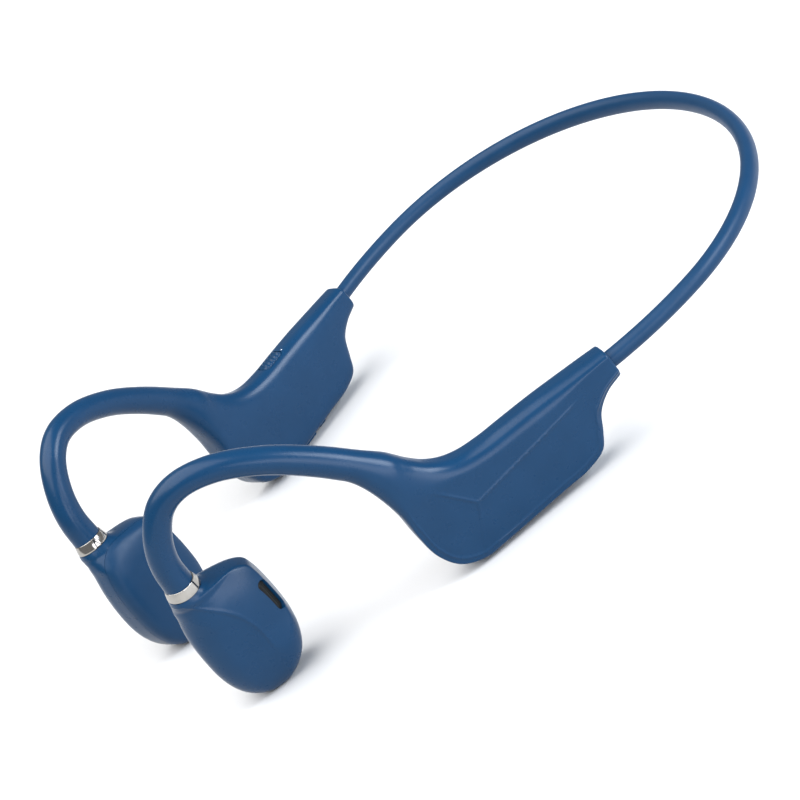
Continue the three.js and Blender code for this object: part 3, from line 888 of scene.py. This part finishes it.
def driver_rings(inset=0.0, count=240, spacing=0.28):
    """Sections of the transducer housing and its pad, from the trim ring down."""
    neck, (neck_b, neck_z, neck_w), (tilt_b, _, tilt_w) = neck_station()
    stations = (neck, *DRIVER_STATIONS)
    rows = []
    for z, (rear, front), (outer, inner), power in stations[5:13] if inset else stations:
        rows.append([rear + inset, front - inset, z, outer - inset, inner + inset, power])
    rows = through(rows, spacing, 5)
    rear, front, z, outer, inner, power = (rows[:, k, None] for k in range(6))
    squarer = 1 + (INNER_SQUARER - 1) * (1 - smoothstep(rows[:, 2], 11, 15))
    rounder = 1 - FRONT_ROUNDER * smoothstep(rows[:, 2], -9, 11) * (1 - smoothstep(rows[:, 2], 13, 15))
    powers = power * np.stack([rounder, squarer, np.ones_like(squarer), squarer], axis=1)
    along, out = unit_section(powers, count)
    b = (rear + front) / 2 + (front - rear) / 2 * along
    w = (outer + inner) / 2 + (outer - inner) / 2 * out
    lift = FACET["lift"] * smoothstep(z, 12.5, 15.5)
    face = outer + facet_height(b, z + 0 * b) + lift
    spare = SKIM + SHOULDER["spare"] * smoothstep(z, 6, 11) * (1 - smoothstep(z, 13.2, 15.4))
    soft = 0.2 + SHOULDER["soft"] * smoothstep(z, 7, 13)
    w = np.where(out > 0, lower_of(w + spare * np.clip(out, 0, 1), face, soft), w)
    share = smoothstep(z, 12.5, neck_z)
    z = z - share * ((b - neck_b) * tilt_b + (w - neck_w) * tilt_w)
    return in_driver(np.stack([b, z, w], axis=-1))


def driver_box(low, high, side):
    corners = np.array([[low[0], high[0]], [low[1], high[1]], [low[2], high[2]]])
    ring = [(0, 0), (1, 0), (1, 1), (0, 1)]
    rings = [[(corners[0][i], corners[1][j], w) for i, j in ring] for w in corners[2]]
    return mesh_piece("cutter", *skinned(in_driver(np.array(rings))), side)


def vent_outline(grow, count=48):
    half = VENT["width"] / 2 + grow
    long = VENT["length"] / 2 + grow
    return rounded_outline((-half, -long), (half, long), half * 0.999, count)


def in_vent(points):
    """Places points given as (across the slot, along it, outward) on the housing's rear slope."""
    angle = math.radians(VENT["angle"])
    x, y, z = np.moveaxis(np.asarray(points, float), -1, 0)
    b = VENT["b"] + x * math.cos(angle) - z * math.sin(angle)
    w = VENT["out"] + x * math.sin(angle) + z * math.cos(angle)
    return in_driver(np.stack([b, VENT["z"] + y, w], axis=-1))


def vent_rings(heights, grows):
    rings = []
    for height, grow in zip(heights, grows):
        outline = vent_outline(grow)
        rings.append(in_vent(np.column_stack([outline, np.full(len(outline), height)])))
    return np.array(rings)


def driver(side):
    whole = joined(skinned(driver_rings()), inside_out(skinned(driver_rings(WALL, 64, 1.2))))
    seam = 0.035
    far = 40
    halves = (
        ("transducer_housing", (DRIVER["split"] + seam, far), "navy_plastic"),
        ("contact_pad", (-far, DRIVER["split"] - seam), "navy_silicone"),
    )
    for name, (low, high), slot in halves:
        piece = mesh_piece(f"{name}_skin_{side}", *whole, side)
        cut(piece, driver_box((-far, -far, low), (far, far, high), side), "INTERSECT")
        if name == "transducer_housing":
            slot_cut = skinned(vent_rings((-3, 0.2, 2.5), (0.05, 0.05, 0.7)))
            cut(piece, mesh_piece("cutter", *slot_cut, side))
        keep_flats_flat(piece, 38)
        finished(piece, slot)
        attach(piece, ARM[side])
        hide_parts(f"{name}_{side}")
    vent(side)


def vent(side):
    """Woven mesh set in the slot, slightly crowned."""
    heights = (-0.9, -0.35, -0.3, -0.22, -0.17, -0.15)
    grows = (0.02, 0.02, -0.1, -0.45, -0.8, -1.1)
    piece = mesh_piece(f"vent_mesh_{side}_weave", *skinned(vent_rings(heights, grows)), side)
    finished(piece, "dark_mesh")
    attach(piece, ARM[side])
    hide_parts(f"vent_mesh_{side}")


# ---- Controls on the right pod ----
def button(name, stations, body, node, slot, middle=0.0, count=64):
    """A soft-edged button: (along, top, bottom, half width) from its rear end to its front end.

    The middle of its width is at middle, outward.
    """
    rows = []
    for a, top, bottom, half in stations:
        rows.append([*in_pod((a, top, middle)), *in_pod((a, bottom, middle)), *(half * POD_AXES[2])])
    rows = np.array(rows)
    up, out = unit_section(np.full((len(rows), 4), 4.0), count)
    top, bottom, half = rows[:, None, 0:3], rows[:, None, 3:6], rows[:, None, 6:9]
    rings = (top + bottom) / 2 + (top - bottom) / 2 * up[..., None] + half * out[..., None]
    piece = mesh_piece(name, *skinned(rings))
    finished(piece, slot)
    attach(piece, body)
    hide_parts(node)


def end_round(share, corner=0.16):
    """How wide a rounded end is: 0 at both ends of the length and 1 between them."""
    near = np.minimum(share, 1 - share) / corner
    return np.sqrt(np.clip(1 - (1 - np.clip(near, 0, 1)) ** 2, 1e-4, 1))


def function_button():
    """The ribbed control on the top edge."""
    low, high = FUNCTION_BUTTON["from"], FUNCTION_BUTTON["to"]
    stations = []
    for share in np.linspace(0, 1, 90):
        a = low + (high - low) * share
        crest = 5.0 + 0.045 * (a - 24)
        ribbed = np.clip((share - 0.06) / 0.88, 0, 1)
        rib = 0.5 - 0.5 * math.cos(2 * math.pi * FUNCTION_BUTTON["ribs"] * ribbed)
        end = float(end_round(share))
        top = crest - 0.3 + 0.5 * end + 0.3 * rib * end
        stations.append((a, top, 2.0, FUNCTION_BUTTON["width"] / 2 * (0.75 + 0.25 * end)))
    middle = FUNCTION_BUTTON["out"]
    node = "function_button_right"
    button("function_button_cap", stations, "function_button", node, "navy_plastic", middle)


def power_button():
    low, high = POWER_BUTTON["from"], POWER_BUTTON["to"]
    stations = []
    for share in np.linspace(0, 1, 40):
        end = float(end_round(share, 0.3))
        bottom = LOWER_EDGE + 0.25 - (0.25 + POWER_BUTTON["proud"]) * end
        half = POWER_BUTTON["width"] / 2 * (0.5 + 0.5 * end)
        stations.append((low + (high - low) * share, LOWER_EDGE + 1.3, bottom, half))
    button("power_button_cap", stations, "power_button", "power_button_right", "navy_plastic")


def status_light():
    """Light pipe with a domed end, behind the function button."""
    radius, foot, crown = LIGHT["radius"], 2.0, 4.7
    dome = [(radius * math.cos(q), crown + 0.5 * radius * math.sin(q)) for q in np.linspace(0, 1.5, 7)]
    piece = mesh_piece("status_light_lens", *light_rings([(radius, foot), *dome]))
    finished(piece, "light_lens")
    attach(piece, "right_arm")
    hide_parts("status_light_right")


def port_cover():
    """Flap with a soft rim and a plug behind it."""
    outside = LOWER_EDGE - PORT_COVER["proud"]
    inside = outside + PORT_COVER["thickness"]
    rim = 0.3
    turn = np.linspace(0, math.pi / 2, 6)
    heights = [outside + rim * (1 - math.sin(q)) for q in turn[::-1]] + [inside - 0.05, inside]
    insets = [rim * (1 - math.cos(q)) for q in turn[::-1]] + [0, 0.05]
    flap = skinned(plate_rings(cover_outline(0), heights, insets))
    plug = pod_block(PLUG["along"], (inside - 0.1, LOWER_EDGE + 1.5), PLUG["across"], 1.1)
    piece = mesh_piece("port_cover_flap", *flap)
    cut(piece, mesh_piece("cutter", *plug), "UNION")
    keep_flats_flat(piece, 45)
    finished(piece, "navy_silicone")
    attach(piece, "port_cover")
    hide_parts("port_cover_right")


# ---- CAD nodes that keep their shape ----
KEPT = {
    "wire_ferrule": "steel",
    "hook_wire": "steel",
    "transducer_yoke": "steel",
    "transducer_magnet": "magnet",
    "voice_coil": "copper",
    "spring_plate": "steel",
    "function_switch": "black_plastic",
    "power_switch": "black_plastic",
    "usb_c_socket": "steel",
    "main_board": "circuit_board",
    "bluetooth_shield": "steel",
    "charge_board": "circuit_board",
    "microphone": "black_plastic",
    "battery_cell": "cell_foil",
    "battery_guard_board": "circuit_board",
}


def keep_nodes():
    for name, node in frame["nodes"].items():
        slot = KEPT.get(name.rsplit("_", 1)[0])
        if slot:
            while len(node.material_slots) < 1:
                node.data.materials.append(None)
            for place in node.material_slots:
                place.material = MATERIALS[slot]


neckband()
for each_side in ("right", "left"):
    arm(each_side)
    trim_ring(each_side)
    driver(each_side)
function_button()
power_button()
status_light()
port_cover()
keep_nodes()


# ---- Studio ----
def studio_floor():
    size = 6
    finish = Finish("studio_floor", Roughness=0.8)
    finish.set("Base Color", finish.ramp(finish.noise(3, 2), (0.6, 0.6, 0.6), (0.62, 0.62, 0.62)))
    corners = [(-size, -size, 0), (size, -size, 0), (size, size, 0), (-size, size, 0)]
    mesh = bpy.data.meshes.new("studio_floor")
    mesh.from_pydata(corners, [], [(0, 1, 2, 3)])
    mesh.materials.append(finish.material)
    floor = bpy.data.objects.new("studio_floor", mesh)
    bpy.context.scene.collection.objects.link(floor)


def soft_light(name, place, size, power, colour=(1, 1, 1)):
    """A large rectangular light at a place in worn millimetres, facing the middle of the headphones."""
    data = bpy.data.lights.new(name, "AREA")
    data.shape = "RECTANGLE"
    data.size, data.size_y = size
    data.energy = power
    data.color = colour
    lamp = bpy.data.objects.new(name, data)
    lamp.location = to_row(place)
    aim = np.array(to_row((0, 20, 0))) - np.array(lamp.location)
    lamp.rotation_euler = Vector(aim).to_track_quat("-Z", "Y").to_euler()
    bpy.context.scene.collection.objects.link(lamp)


def studio():
    studio_floor()
    soft_light("overhead", (0, 500, 1500), (2.4, 2.0), 62)
    soft_light("left_rear", (-700, -760, 500), (0.55, 0.45), 13, (0.82, 0.9, 1))
    soft_light("side", (-1200, -150, 230), (1.2, 0.42), 9, (0.9, 0.92, 1))
    world = bpy.data.worlds.new("studio")
    world.use_nodes = True
    background = world.node_tree.nodes["Background"]
    background.inputs["Color"].default_value = (0.97, 0.98, 1, 1)
    background.inputs["Strength"].default_value = 0.35
    bpy.context.scene.world = world
    bpy.context.scene.view_settings.view_transform = "Standard"


studio()
